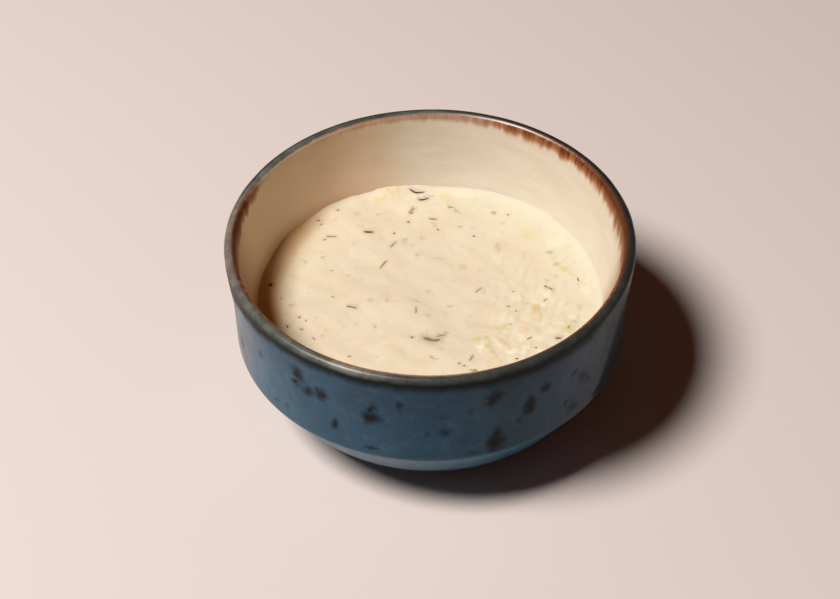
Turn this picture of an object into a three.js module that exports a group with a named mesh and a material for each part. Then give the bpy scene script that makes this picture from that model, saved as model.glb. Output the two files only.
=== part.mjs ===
// A small round stoneware dip bowl, half filled with a thick herb and pickle sauce.
// Millimetres, +Z up. The origin is the centre of the foot ring, on the plane the bowl stands on.
import * as THREE from 'three';

// ---- bowl, overall ----
const RIM_RADIUS = 50.3;        // widest point, on the outside of the lip
const HEIGHT = 49.15;           // standing plane to the top of the lip
const LIP_RADIUS = 1.45;        // half the lip's thickness, its top is a half round

// ---- bowl, outside ----
const WALL_RADIUS = 49.2;       // the upright wall, below the lip's slight flare
const FLARE_DROP = 14.5;        // how far down the flare runs out
const LEDGE_Z = 20.9;           // lower edge of the upright wall
const LEDGE_EDGE = 1.2;         // rounding of that edge
const LEDGE_DEPTH = 1.95;       // the stacking ledge: the lower body starts this much further in
const LOWER_TOP_Z = 19.6;       // where the lower body leaves the ledge
const LOWER_LEAN = [3.9, 7.9];  // inward and downward reach of the lower body's first tangent
const LOWER_TURN = [10.2, 1.3]; // outward and upward reach of its last tangent, over the foot

// ---- foot ring ----
const FOOT_TOP_RADIUS = 31.0;
const FOOT_TOP_Z = 3.0;
const FOOT_OUTER = 30.2;
const FOOT_INNER = 27.2;
const FOOT_EDGE = 0.55;         // rounding of the ring's two edges
const RECESS_Z = 2.3;           // underside of the base, inside the ring
const RECESS_DOME = 0.4;        // how much higher it is at the middle

// ---- bowl, inside ----
const INNER_BASE_Z = 7.0;       // lowest point of the hollow
const INNER_TOP_RADIUS = RIM_RADIUS - 2 * LIP_RADIUS;
const INNER_FULLNESS = 3.0;     // exponent of the hollow's curve: 2 is an ellipse, more is squarer
const INNER_TAPER = 4.9;        // how much narrower the wall's own cone is at the bottom

// ---- sauce ----
const SAUCE_LEVEL = 27.8;       // mean level of the surface
const GAP = 0.3;                // clearance between the sauce solid and the glaze
const SWELL = 0.28;             // height of the broad, spooned unevenness
const CRAWL = 0.55;             // the surface creeps up the wall by this much
const CHUNKS = [                // pickle pieces under the skin: angle in degrees, share of the radius, size, height
  [-38, 0.62, 4.2, 0.75], [-29, 0.76, 3.8, 0.65], [-47, 0.74, 3.6, 0.6], [-20, 0.58, 3.2, 0.45],
  [-12, 0.80, 3.6, 0.5], [12, 0.84, 3.4, 0.4], [112, 0.88, 4.0, 0.55], [84, 0.86, 3.4, 0.4],
];

const SEGMENTS = 64;
const rad = THREE.MathUtils.degToRad;

// Points of an arc in the (radius, height) plane, from angle a0 to a1 in degrees.
function arc(cr, cz, r, a0, a1, n) {
  const out = [];
  for (let i = 0; i <= n; i++) {
    const a = rad(a0 + ((a1 - a0) * i) / n);
    out.push(new THREE.Vector2(cr + r * Math.cos(a), cz + r * Math.sin(a)));
  }
  return out;
}

// Outside radius of the upright wall at height z: straight, with a slight flare under the lip.
function wallRadius(z) {
  const lipZ = HEIGHT - LIP_RADIUS;
  const d = THREE.MathUtils.clamp((lipZ - z) / FLARE_DROP, 0, 1);
  return WALL_RADIUS + (RIM_RADIUS - WALL_RADIUS) * (0.5 + 0.5 * Math.cos(Math.PI * d));
}

// Inside radius of the hollow at height z: a leaning wall that rounds into a flat middle.
function hollowRadius(z) {
  const depth = THREE.MathUtils.clamp((HEIGHT - LIP_RADIUS - z) / (HEIGHT - LIP_RADIUS - INNER_BASE_Z), 0, 1);
  const cone = INNER_TOP_RADIUS - INNER_TAPER * depth;
  return cone * Math.pow(1 - Math.pow(depth, INNER_FULLNESS), 1 / INNER_FULLNESS);
}

function bowlProfile() {
  const p = [];
  // underside, inside the foot ring
  const steps = 3;
  for (let i = 0; i < steps; i++) {
    const s = i / steps;
    p.push(new THREE.Vector2(s * (FOOT_INNER - 1.2), RECESS_Z + RECESS_DOME * (1 - s * s)));
  }
  p.push(new THREE.Vector2(FOOT_INNER - 1.0, RECESS_Z));
  p.push(new THREE.Vector2(FOOT_INNER - 0.3, RECESS_Z - 0.5));
  // foot ring
  p.push(...arc(FOOT_INNER + FOOT_EDGE, FOOT_EDGE, FOOT_EDGE, 180, 270, 2));
  p.push(...arc(FOOT_OUTER - FOOT_EDGE, FOOT_EDGE, FOOT_EDGE, 270, 360, 2));
  // lower body, a curve that leans further in as it comes down
  const top = new THREE.Vector2(WALL_RADIUS - LEDGE_DEPTH, LOWER_TOP_Z);
  const foot = new THREE.Vector2(FOOT_TOP_RADIUS, FOOT_TOP_Z);
  const lower = new THREE.CubicBezierCurve(
    foot,
    new THREE.Vector2(foot.x + LOWER_TURN[0], foot.y + LOWER_TURN[1]),
    new THREE.Vector2(top.x - LOWER_LEAN[0], top.y - LOWER_LEAN[1]),
    top,
  );
  p.push(...lower.getPoints(7));
  // stacking ledge and the rounded lower edge of the upright wall
  p.push(new THREE.Vector2(top.x + 0.45, LEDGE_Z - LEDGE_EDGE - 0.04));
  p.push(...arc(WALL_RADIUS - LEDGE_EDGE, LEDGE_Z, LEDGE_EDGE, -90, 0, 3));
  // upright wall with its flare
  const wallSteps = 5;
  const lipZ = HEIGHT - LIP_RADIUS;
  for (let i = 1; i < wallSteps; i++) {
    const z = LEDGE_Z + ((lipZ - LEDGE_Z) * i) / wallSteps;
    p.push(new THREE.Vector2(wallRadius(z), z));
  }
  // half-round lip
  p.push(...arc(RIM_RADIUS - LIP_RADIUS, lipZ, LIP_RADIUS, 0, 180, 8));
  // hollow, down to its lowest point, with shorter steps where it curves most
  const inner = 12;
  for (let i = 1; i < inner; i++) {
    const z = INNER_BASE_Z + (lipZ - INNER_BASE_Z) * Math.pow(1 - i / inner, 1.9);
    p.push(new THREE.Vector2(hollowRadius(z), z));
  }
  p.push(new THREE.Vector2(0, INNER_BASE_Z));
  p[0].x = 0;
  return p;
}

// Height of the sauce's surface at a point, from its spooned swells, the pickle pieces and the creep up the wall.
function sauceSurface(x, y) {
  const edge = hollowRadius(SAUCE_LEVEL) - GAP;
  const r = Math.hypot(x, y);
  const a = Math.atan2(y, x);
  const u = r / edge;
  let z = SAUCE_LEVEL;
  z += SWELL * (Math.sin(0.115 * x + 0.5) * Math.cos(0.13 * y - 0.4) + 0.5 * Math.sin(0.21 * y + 0.12 * x + 1.3) * u);
  for (const [deg, share, size, height] of CHUNKS) {
    const cx = share * edge * Math.cos(rad(deg));
    const cy = share * edge * Math.sin(rad(deg));
    z += height * Math.exp(-((x - cx) ** 2 + (y - cy) ** 2) / (size * size));
  }
  z += CRAWL * Math.pow(u, 14) * (0.55 + 0.3 * Math.sin(3 * a + 0.8) + 0.15 * Math.sin(7 * a + 2.1));
  return z;
}

// The sauce: it fills the hollow up to its level, and its top vertices then take the surface's height.
function sauceGeometry() {
  const points = [];
  const wall = 7;
  for (let i = 0; i <= wall; i++) {
    const z = INNER_BASE_Z + GAP + (SAUCE_LEVEL - 1.0 - INNER_BASE_Z - GAP) * Math.pow(i / wall, 2);
    const slope = Math.max(hollowRadius(z + 0.1) - hollowRadius(z), 0) / 0.1;
    const clear = GAP * Math.hypot(1, slope);
    points.push(new THREE.Vector2(i ? Math.max(hollowRadius(z) - clear, 0.2) : 0, z));
  }
  const edge = hollowRadius(SAUCE_LEVEL) - GAP;
  const rings = 10;
  for (let i = rings; i >= 0; i--) {
    const s = i / rings;
    points.push(new THREE.Vector2(edge * Math.sin((s * Math.PI) / 2), SAUCE_LEVEL + 5));
  }
  const g = new THREE.LatheGeometry(points, SEGMENTS);
  g.rotateX(Math.PI / 2);
  const pos = g.attributes.position;
  for (let i = 0; i < pos.count; i++) {
    if (pos.getZ(i) > SAUCE_LEVEL + 2) pos.setZ(i, sauceSurface(pos.getX(i), pos.getY(i)));
  }
  return g;
}

const stoneware = new THREE.MeshStandardMaterial({ color: 0x3f5e78, roughness: 0.28, metalness: 0 });
const cream = new THREE.MeshStandardMaterial({ color: 0xf2e4c6, roughness: 0.45, metalness: 0 });

const bowlShape = new THREE.LatheGeometry(bowlProfile(), SEGMENTS);
bowlShape.rotateX(Math.PI / 2);
const bowl = new THREE.Mesh(bowlShape, stoneware);
bowl.name = 'bowl';

const sauce = new THREE.Mesh(sauceGeometry(), cream);
sauce.name = 'sauce';

const dip = new THREE.Group();
dip.add(bowl, sauce);
export default dip;
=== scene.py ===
"""Looks for the tartar sauce in its stoneware dip bowl. Lengths in the helpers are millimetres."""

import math
import random

import bpy
import numpy as np
from mathutils import Matrix, Vector


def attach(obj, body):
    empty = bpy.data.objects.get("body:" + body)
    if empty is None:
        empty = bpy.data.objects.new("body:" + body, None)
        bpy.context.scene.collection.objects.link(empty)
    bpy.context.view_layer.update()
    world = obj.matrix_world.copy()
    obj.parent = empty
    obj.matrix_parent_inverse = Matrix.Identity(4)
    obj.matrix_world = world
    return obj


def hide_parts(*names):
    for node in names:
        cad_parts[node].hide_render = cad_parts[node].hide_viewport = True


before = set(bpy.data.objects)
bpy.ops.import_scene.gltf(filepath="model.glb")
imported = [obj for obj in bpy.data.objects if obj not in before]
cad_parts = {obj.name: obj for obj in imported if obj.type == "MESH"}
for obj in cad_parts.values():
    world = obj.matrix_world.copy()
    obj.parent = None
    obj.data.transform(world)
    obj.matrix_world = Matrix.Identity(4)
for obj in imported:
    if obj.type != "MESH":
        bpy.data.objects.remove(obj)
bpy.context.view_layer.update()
MM = 0.001

# ------------------------------------------------------------------ glaze colours
# the wall's blue glaze from the bowl's left to its right, with a painted pale sheen towards the far left and a grey
# painted reflection towards the right: x in mm, colour
WALL_GLAZE = [
    (-50.3, (0.252, 0.283, 0.286)), (-47.6, (0.248, 0.290, 0.302)), (-45.6, (0.198, 0.252, 0.298)), (-42.6, (0.124, 0.200, 0.280)),
    (-37.8, (0.070, 0.147, 0.220)), (-28.3, (0.048, 0.114, 0.184)), (-16.9, (0.042, 0.102, 0.170)), (0.0, (0.031, 0.087, 0.148)),
    (16.9, (0.038, 0.085, 0.122)), (28.3, (0.050, 0.092, 0.149)), (34.9, (0.088, 0.123, 0.164)), (40.4, (0.110, 0.146, 0.180)),
    (45.0, (0.096, 0.120, 0.138)), (50.3, (0.086, 0.100, 0.112)),
]
WALL_BACK = (0.044, 0.100, 0.162)
BLUE_PALE, BLUE_DEEP = (0.135, 0.205, 0.265), (0.026, 0.072, 0.130)
POOL_LEFT, POOL_RIGHT = (0.100, 0.190, 0.265), (0.052, 0.190, 0.300)
SPOT_DARK, SPOT_BROWN = (0.005, 0.005, 0.004), (0.032, 0.021, 0.008)
BAND = (0.007, 0.012, 0.012)
CREAM_A, CREAM_B, CREAM_C = (0.705, 0.690, 0.585), (0.750, 0.732, 0.635), (0.730, 0.705, 0.600)
# painted bounce light: the shaded left of the inside is painted warmer and lighter
CREAM_LEFT = (0.962, 0.796, 0.556)
TAN, BROWN, BROWN_DEEP = (0.44, 0.195, 0.074), (0.140, 0.038, 0.008), (0.085, 0.022, 0.005)

# ------------------------------------------------------------------ sizes, as in the CAD
RIM_RADIUS = 50.3
HEIGHT = 49.15
LIP = 1.45
WALL_RADIUS = 49.2
FLARE_DROP = 14.5
LEDGE_Z = 20.9
LEDGE_EDGE = 1.2
SOFT_EDGE = 1.9
LEDGE_DEPTH = 1.95
LOWER_TOP_Z = 19.6
LOWER_LEAN = (3.9, 7.9)
LOWER_TURN = (10.2, 1.3)
FOOT_TOP = (31.0, 3.0)
FOOT_OUTER = 30.2
FOOT_INNER = 27.2
FOOT_EDGE = 0.55
RECESS_Z = 2.3
RECESS_DOME = 0.4
BASE_Z = 7.0
INNER_TOP = RIM_RADIUS - 2 * LIP
FULLNESS = 3.0
TAPER = 4.9
LEVEL = 27.8


def hollow_radius(z):
    depth = np.clip((HEIGHT - LIP - np.asarray(z, float)) / (HEIGHT - LIP - BASE_Z), 0, 1)
    return (INNER_TOP - TAPER * depth) * (1 - depth**FULLNESS) ** (1 / FULLNESS)


def wall_radius(z):
    d = np.clip((HEIGHT - LIP - z) / FLARE_DROP, 0, 1)
    return WALL_RADIUS + (RIM_RADIUS - WALL_RADIUS) * (0.5 + 0.5 * np.cos(np.pi * d))


# ------------------------------------------------------------------ smooth seeded noise
class Waves:
    """A sum of seeded plane waves: smooth noise of about unit height at any point."""

    def __init__(self, seed, wavelength, count=9, spread=0.5, dims=3):
        r = np.random.default_rng(seed)
        d = r.normal(size=(count, dims))
        d /= np.linalg.norm(d, axis=1)[:, None]
        wl = wavelength * np.exp(r.uniform(-spread, spread, count))
        self.k = d * (2 * np.pi / wl)[:, None]
        self.p = r.uniform(0, 2 * np.pi, count)
        self.s = math.sqrt(2.0 / count)

    def __call__(self, *axes):
        shape = np.shape(axes[0])
        q = np.stack([np.ravel(a) for a in axes], 1)
        return (np.sin(q @ self.k.T + self.p).sum(1) * self.s).reshape(shape)


def smooth(a, b, x):
    t = np.clip((np.asarray(x, float) - a) / (b - a), 0, 1)
    return t * t * (3 - 2 * t)


# ------------------------------------------------------------------ mesh helpers
def make_object(name, verts_mm, faces, materials, smooth_shade=True):
    me = bpy.data.meshes.new(name)
    v = np.asarray(verts_mm, np.float64) * MM
    if isinstance(faces, np.ndarray) and faces.ndim == 2:
        n, k = faces.shape
        me.vertices.add(len(v))
        me.vertices.foreach_set("co", v.astype(np.float32).ravel())
        me.loops.add(n * k)
        me.loops.foreach_set("vertex_index", faces.astype(np.int32).ravel())
        me.polygons.add(n)
        me.polygons.foreach_set("loop_start", (np.arange(n) * k).astype(np.int32))
        me.polygons.foreach_set("loop_total", np.full(n, k, np.int32))
        me.update(calc_edges=True)
    else:
        me.from_pydata([tuple(p) for p in v], [], [tuple(map(int, f)) for f in faces])
        me.update()
    me.validate()
    me.polygons.foreach_set("use_smooth", np.full(len(me.polygons), smooth_shade, bool))
    for m in materials if isinstance(materials, (list, tuple)) else [materials]:
        me.materials.append(m)
    o = bpy.data.objects.new(name, me)
    bpy.context.scene.collection.objects.link(o)
    return o


def add_attribute(o, name, values):
    a = o.data.attributes.new(name, "FLOAT", "POINT")
    a.data.foreach_set("value", np.asarray(values, np.float32).ravel())


# ------------------------------------------------------------------ node helpers
class Tree:
    def __init__(self, name):
        self.mat = bpy.data.materials.new(name)
        self.mat.use_nodes = True
        self.t = self.mat.node_tree
        self.t.nodes.clear()
        self.out = self.t.nodes.new("ShaderNodeOutputMaterial")
        self.bsdf = self.t.nodes.new("ShaderNodeBsdfPrincipled")
        self.t.links.new(self.bsdf.outputs[0], self.out.inputs[0])

    def put(self, sock, v):
        if isinstance(v, bpy.types.NodeSocket):
            self.t.links.new(v, sock)
        elif v is not None:
            sock.default_value = v

    def math(self, op, a, b=None, c=None, clamp=False):
        n = self.t.nodes.new("ShaderNodeMath")
        n.operation = op
        n.use_clamp = clamp
        self.put(n.inputs[0], a)
        if b is not None:
            self.put(n.inputs[1], b)
        if c is not None:
            self.put(n.inputs[2], c)
        return n.outputs[0]

    def vmath(self, op, a, b=None, scale=None):
        n = self.t.nodes.new("ShaderNodeVectorMath")
        n.operation = op
        self.put(n.inputs[0], a)
        if b is not None:
            self.put(n.inputs[1], b)
        if scale is not None:
            self.put(n.inputs["Scale"], scale)
        return n.outputs["Value"] if op in ("LENGTH", "DISTANCE", "DOT_PRODUCT") else n.outputs[0]

    def rng(self, v, a, b, lo=0.0, hi=1.0, kind="SMOOTHSTEP"):
        n = self.t.nodes.new("ShaderNodeMapRange")
        n.interpolation_type = kind
        self.put(n.inputs["Value"], v)
        # a falling range is written as a rising one with its ends swapped
        if a > b:
            a, b, lo, hi = b, a, hi, lo
        n.inputs["From Min"].default_value = a
        n.inputs["From Max"].default_value = b
        n.inputs["To Min"].default_value = lo
        n.inputs["To Max"].default_value = hi
        return n.outputs["Result"]

    def mix(self, f, a, b, blend="MIX"):
        n = self.t.nodes.new("ShaderNodeMix")
        n.data_type = "RGBA"
        n.blend_type = blend
        self.put(n.inputs[0], f)
        self.put(n.inputs[6], a if isinstance(a, bpy.types.NodeSocket) else (*a, 1))
        self.put(n.inputs[7], b if isinstance(b, bpy.types.NodeSocket) else (*b, 1))
        return n.outputs[2]

    def noise(self, vec, scale, detail=3.0, rough=0.5, distortion=0.0):
        n = self.t.nodes.new("ShaderNodeTexNoise")
        self.put(n.inputs["Vector"], vec)
        n.inputs["Scale"].default_value = scale
        n.inputs["Detail"].default_value = detail
        n.inputs["Roughness"].default_value = rough
        n.inputs["Distortion"].default_value = distortion
        return n

    def attr(self, name):
        n = self.t.nodes.new("ShaderNodeAttribute")
        n.attribute_name = name
        return n.outputs["Fac"]

    def coords(self):
        """Object coordinates in millimetres."""
        n = self.t.nodes.new("ShaderNodeTexCoord")
        return self.vmath("SCALE", n.outputs["Object"], scale=1000.0)

    def split(self, v):
        n = self.t.nodes.new("ShaderNodeSeparateXYZ")
        self.put(n.inputs[0], v)
        return n.outputs

    def join(self, x, y, z):
        n = self.t.nodes.new("ShaderNodeCombineXYZ")
        for s, v in zip(n.inputs, (x, y, z)):
            self.put(s, v)
        return n.outputs[0]

    def bump(self, height, strength, distance_mm, normal=None):
        n = self.t.nodes.new("ShaderNodeBump")
        n.inputs["Strength"].default_value = strength
        n.inputs["Distance"].default_value = distance_mm * MM
        self.put(n.inputs["Height"], height)
        if normal is not None:
            self.put(n.inputs["Normal"], normal)
        return n.outputs[0]

    def set(self, **kw):
        names = {
            "color": "Base Color", "rough": "Roughness", "ior": "IOR", "normal": "Normal",
            "sss": "Subsurface Weight", "sss_radius": "Subsurface Radius", "sss_scale": "Subsurface Scale",
            "coat": "Coat Weight", "coat_rough": "Coat Roughness", "coat_ior": "Coat IOR", "spec": "Specular IOR Level",
            "transmission": "Transmission Weight",
        }
        for k, v in kw.items():
            s = self.bsdf.inputs[names[k]]
            if k == "color" and isinstance(v, tuple) and len(v) == 3:
                v = (*v, 1)
            self.put(s, v)
        return self.mat


# ------------------------------------------------------------------ the bowl's form
def arc(cr, cz, r, a0, a1, n):
    a = np.radians(np.linspace(a0, a1, n + 1))
    return list(zip(cr + r * np.cos(a), cz + r * np.sin(a)))


def bowl_profile():
    p = []
    for s in np.linspace(0, 1, 6)[:-1]:
        p.append((s * (FOOT_INNER - 1.2), RECESS_Z + RECESS_DOME * (1 - s * s)))
    # soft fillet into the foot ring
    p += arc(FOOT_INNER - 1.1, RECESS_Z - 1.1, 1.1, 90, 0, 4)
    p[-1] = (FOOT_INNER, RECESS_Z - 1.1)
    p += arc(FOOT_INNER + FOOT_EDGE, FOOT_EDGE, FOOT_EDGE, 180, 270, 4)
    p += arc(FOOT_OUTER - FOOT_EDGE, FOOT_EDGE, FOOT_EDGE, 270, 360, 4)
    # concave fillet, foot to lower body
    p += arc(FOOT_OUTER + 0.9, FOOT_TOP[1] - 1.0, 0.9, 180, 100, 4)
    a = np.array(FOOT_TOP) + (0.4, 0.05)
    d = np.array((WALL_RADIUS - LEDGE_DEPTH, LOWER_TOP_Z))
    b = np.array(FOOT_TOP) + LOWER_TURN
    c = d - LOWER_LEAN
    for t in np.linspace(0.02, 1, 27):
        q = (1 - t) ** 3 * a + 3 * (1 - t) ** 2 * t * b + 3 * (1 - t) * t * t * c + t**3 * d
        p.append(tuple(q))
    # ledge: concave corner, then the wall's rounded lower edge
    p += [(d[0] + 0.12, LOWER_TOP_Z + 0.07)]
    p += arc(WALL_RADIUS - SOFT_EDGE, LEDGE_Z - LEDGE_EDGE + SOFT_EDGE, SOFT_EDGE, -80, 0, 9)
    lip_z = HEIGHT - LIP
    for z in np.linspace(LEDGE_Z - LEDGE_EDGE + SOFT_EDGE, lip_z, 45)[1:-1]:
        p.append((float(wall_radius(z)), z))
    p += arc(RIM_RADIUS - LIP, lip_z, LIP, 0, 180, 18)
    for s in np.linspace(0, 1, 27)[1:-1]:
        z = lip_z + (24.0 - lip_z) * s
        p.append((float(hollow_radius(z)), z))
    for s in np.linspace(0, 1, 9)[:-1]:
        z = BASE_Z + (24.0 - BASE_Z) * (1 - s) ** 2
        p.append((float(hollow_radius(z)), z))
    p.append((0.0, BASE_Z))
    return np.array(p)


def build_bowl(material):
    prof = bowl_profile()
    seg = 560
    step = np.hypot(*(prof[1:] - prof[:-1]).T)
    run = np.concatenate([[0], np.cumsum(step)])
    apex = int(np.argmax(prof[:, 1]))
    apex_run = run[apex]
    dist = apex_run - run  # + outside, - inside, 0 on top of the lip
    theta = np.arange(seg) * 2 * np.pi / seg
    R, T = np.meshgrid(prof[:, 0], theta)
    Z = np.tile(prof[:, 1], (seg, 1))
    D = np.tile(dist, (seg, 1))
    cx, cy = np.cos(T), np.sin(T)
    # hand-finished unevenness: a broad waver, turning marks inside, a soft ledge
    broad = Waves(3, 55.0)(R * cx, R * cy, Z)
    fine = Waves(4, 9.0)(R * cx, R * cy, Z)
    inside = smooth(-3.0, -6.0, D)
    outside = smooth(2.0, 5.0, D)
    rings = np.sin(Z * 2 * np.pi / 4.4 + 0.7 * np.sin(T + 0.4) + 0.4 * Waves(5, 40.0)(R * cx, R * cy, Z))
    above_foot = smooth(1.0, 5.0, Z)
    dr = above_foot * (0.05 * broad + 0.02 * fine) + inside * 0.018 * rings * smooth(48, 34, Z)
    dr -= outside * 0.02 * np.abs(fine)
    R2 = np.clip(R + dr, 0, RIM_RADIUS)
    Z2 = np.minimum(Z + above_foot * 0.03 * Waves(6, 40.0)(R * cx, R * cy, Z) * smooth(40, 10, Z), HEIGHT)
    R2[:, 0] = 0
    R2[:, -1] = 0
    n = len(prof)
    V = np.stack([R2 * cx, R2 * cy, Z2], 2)
    verts = [V[0, 0]]
    ring = V[:, 1:-1]  # seg x (n-2)
    verts = np.concatenate([V[0:1, 0], ring.reshape(-1, 3), V[0:1, -1]])
    m = n - 2
    idx = 1 + np.arange(seg)[:, None] * m + np.arange(m)[None, :]
    nx = np.roll(idx, -1, axis=0)
    quads = np.stack([idx[:, :-1], nx[:, :-1], nx[:, 1:], idx[:, 1:]], 2).reshape(-1, 4)
    faces = [tuple(f) for f in quads]
    last = len(verts) - 1
    faces += [(0, int(nx[i, 0]), int(idx[i, 0])) for i in range(seg)]
    faces += [(last, int(idx[i, -1]), int(nx[i, -1])) for i in range(seg)]
    o = make_object("bowl_glazed", verts, faces, material)
    vals = np.concatenate([[dist[0]], D[:, 1:-1].ravel(), [dist[-1]]])
    add_attribute(o, "lip_run", vals)
    height = np.argsort(prof[dist > 2.5, 1])
    spot, brown = spot_fields(verts, vals, prof[dist > 2.5, 1][height], dist[dist > 2.5][height])
    add_attribute(o, "spot", spot)
    add_attribute(o, "spot_brown", brown)
    return o


def spot_fields(verts, run, heights, runs):
    """How far inside a glaze spot each point lies, and how brown it is there."""
    x, y, z = np.asarray(verts, float).T
    turn, radius = np.degrees(np.arctan2(y, x)), np.hypot(x, y)
    push = [0.26 * Waves(50 + i, 3.0, 14, 0.5)(x, y, z) + 0.12 * Waves(60 + i, 1.5, 14, 0.3)(x, y, z) for i in range(2)]
    spot, brown = np.zeros(len(x)), np.zeros(len(x))
    for a, h, w, tall, lean, k, br in all_spots():
        d = (turn - a + 180) % 360 - 180
        u0, v0 = np.radians(d) * radius, np.interp(h, heights, runs) - run
        near = (np.abs(u0) < 2.2 * max(w, tall) + 1.5) & (np.abs(v0) < 2.2 * max(w, tall) + 1.5) & (run > 2)
        soft = min(1.0, w / 0.9)
        u, v = u0[near] + soft * push[0][near], v0[near] + soft * push[1][near]
        c, s = math.cos(math.radians(lean)), math.sin(math.radians(lean))
        dist = np.hypot((u * c - v * s) / w, (u * s + v * c) / tall) / 1.36
        spot[near] = np.maximum(spot[near], k * np.clip((1.75 - dist) / 1.42, 0, 1.06))
        brown[near] = np.maximum(brown[near], 0.8 * k * br * np.clip((1.0 - dist) / 0.75, 0, 1))
    return spot, brown


# glaze spots on the wall: turn in degrees, height, half width, half height, lean, strength, how brown
SPOTS = [
    (-129.2, 40.2, 1.25, 1.75, -8, 0.95, 0.9), (-130.5, 36.4, 0.75, 1.0, 0, 0.9, 0.4), (-126.4, 35.5, 1.2, 1.15, 0, 0.9, 0.3),
    (-121.9, 36.8, 1.05, 1.5, 14, 0.95, 0.8), (-107.2, 34.0, 1.5, 1.35, 0, 1.0, 0.7), (-106.5, 36.9, 0.85, 1.3, 6, 0.95, 0.5),
    (-106.2, 39.0, 0.45, 0.8, 0, 0.6, 0.2), (-98.9, 40.0, 0.60, 1.15, 0, 0.75, 0.1), (-98.7, 37.4, 0.70, 0.6, 0, 0.25, 0.0),
    (-117.9, 28.0, 0.85, 1.05, 0, 0.85, 0.4), (-107.2, 23.3, 1.15, 0.45, 0, 0.7, 0.5), (-91.7, 30.3, 0.45, 0.75, 0, 0.5, 0.0),
    (-87.1, 30.9, 1.0, 0.85, 0, 0.7, 0.5), (-87.2, 36.1, 0.65, 0.65, 0, 0.35, 0.1), (-79.8, 37.5, 0.95, 1.0, 0, 0.42, 0.2),
    (-73.4, 41.0, 1.45, 1.55, 6, 0.92, 0.7), (-74.7, 39.2, 0.85, 0.9, 0, 0.9, 0.2), (-73.0, 43.3, 0.7, 0.8, 0, 0.4, 0.4),
    (-62.6, 33.9, 1.05, 1.9, 4, 1.0, 0.8), (-62.8, 36.6, 0.65, 0.8, 0, 0.7, 0.3), (-57.8, 38.0, 0.85, 1.35, -14, 0.9, 1.0),
    (-65.3, 30.0, 0.60, 0.85, 0, 0.5, 0.1), (-72.7, 24.9, 1.4, 1.7, 0, 1.0, 0.75), (-72.3, 28.0, 0.7, 1.2, -6, 0.85, 0.4),
    (-47.5, 37.1, 0.85, 0.9, 0, 0.55, 0.2), (-43.6, 33.4, 1.1, 1.9, -28, 0.45, 1.0), (-41.0, 31.0, 0.9, 1.4, -20, 0.35, 1.0),
    (-49.8, 28.2, 0.65, 0.85, 0, 0.55, 0.2), (-47.2, 25.0, 1.4, 1.2, 0, 0.5, 0.9), (-145.8, 36.0, 0.8, 1.4, 30, 0.5, 0.6),
    (-160.5, 28.2, 1.0, 1.3, 0, 0.45, 0.7), (-139.5, 24.2, 0.8, 0.6, 0, 0.45, 0.3), (-135.2, 25.3, 0.5, 0.8, 0, 0.45, 0.2),
    (-126.5, 23.0, 0.55, 0.4, 0, 0.4, 0.2), (-90.0, 23.0, 0.45, 0.4, 0, 0.4, 0.2), (-78.5, 22.9, 0.8, 0.5, 0, 0.5, 0.9),
    (-81.5, 27.4, 0.9, 0.9, 0, 0.28, 0.0), (-35.4, 23.0, 1.6, 0.8, 0, 0.8, 0.5), (-27.5, 26.3, 1.2, 1.1, 0, 0.6, 0.6),
    (-96.8, 14.2, 0.9, 0.7, 0, 0.55, 0.3), (-112.0, 12.0, 0.7, 0.6, 0, 0.45, 0.3), (-66.0, 13.0, 0.8, 0.7, 0, 0.5, 0.4),
]


def all_spots():
    """The listed spots, and more of the same kind round the sides that aren't listed."""
    r = random.Random(11)
    spots = list(SPOTS)
    tries = 0
    while len(spots) < len(SPOTS) + 34 and tries < 900:
        tries += 1
        a, z = r.uniform(-20, 192), r.choice([r.uniform(23, 43), r.uniform(23, 43), r.uniform(9, 19)])
        if any(abs(a - b[0]) < 6 and abs(z - b[1]) < 5 for b in spots):
            continue
        w = r.uniform(0.5, 1.35)
        k, brown = r.uniform(0.4, 1.0), r.uniform(0.0, 0.9)
        spots.append((a, z, w, w * r.uniform(0.9, 1.6), r.uniform(-20, 20), k, brown))
        if r.random() < 0.4:
            spots.append((a + r.uniform(-2.5, 2.5), z - r.uniform(1.6, 3.0), w * 0.65, w * 0.8, 0, k * 0.8, brown * 0.5))
    return spots


# round the lip: turn in degrees, how strong the brown is, how far it runs, how light the lip's top is (painted light:
# lighter on the lit left, with a painted highlight near -113), how glossy
LIP_ROUND = [
    (-180, 1.0, 4.7, 0.150, 0.30), (-165, 0.95, 3.9, 0.135, 0.30), (-150, 0.80, 3.6, 0.118, 0.30), (-135, 0.74, 3.2, 0.092, 0.26),
    (-122, 0.58, 2.7, 0.112, 0.30), (-113, 0.50, 2.6, 0.200, 0.40), (-104, 0.46, 2.6, 0.095, 0.22), (-90, 0.40, 2.6, 0.052, 0.18),
    (-75, 0.46, 2.6, 0.047, 0.15), (-60, 0.66, 2.9, 0.044, 0.15), (-30, 0.90, 3.6, 0.038, 0.15), (-10, 1.0, 5.6, 0.028, 0.20),
    (2, 1.0, 5.7, 0.024, 0.30), (15, 1.0, 4.8, 0.024, 0.50), (30, 0.95, 3.7, 0.022, 0.70), (45, 0.82, 3.2, 0.020, 0.90),
    (60, 0.68, 3.0, 0.022, 0.95), (75, 0.44, 2.6, 0.045, 0.95), (90, 0.44, 2.4, 0.095, 0.70), (110, 0.36, 2.2, 0.060, 0.35),
    (122, 0.26, 2.1, 0.085, 0.30), (131, 0.20, 2.0, 0.112, 0.30), (150, 0.18, 2.0, 0.138, 0.30), (160, 0.60, 3.0, 0.135, 0.30),
    (168, 0.97, 3.8, 0.145, 0.30),
]


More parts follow.
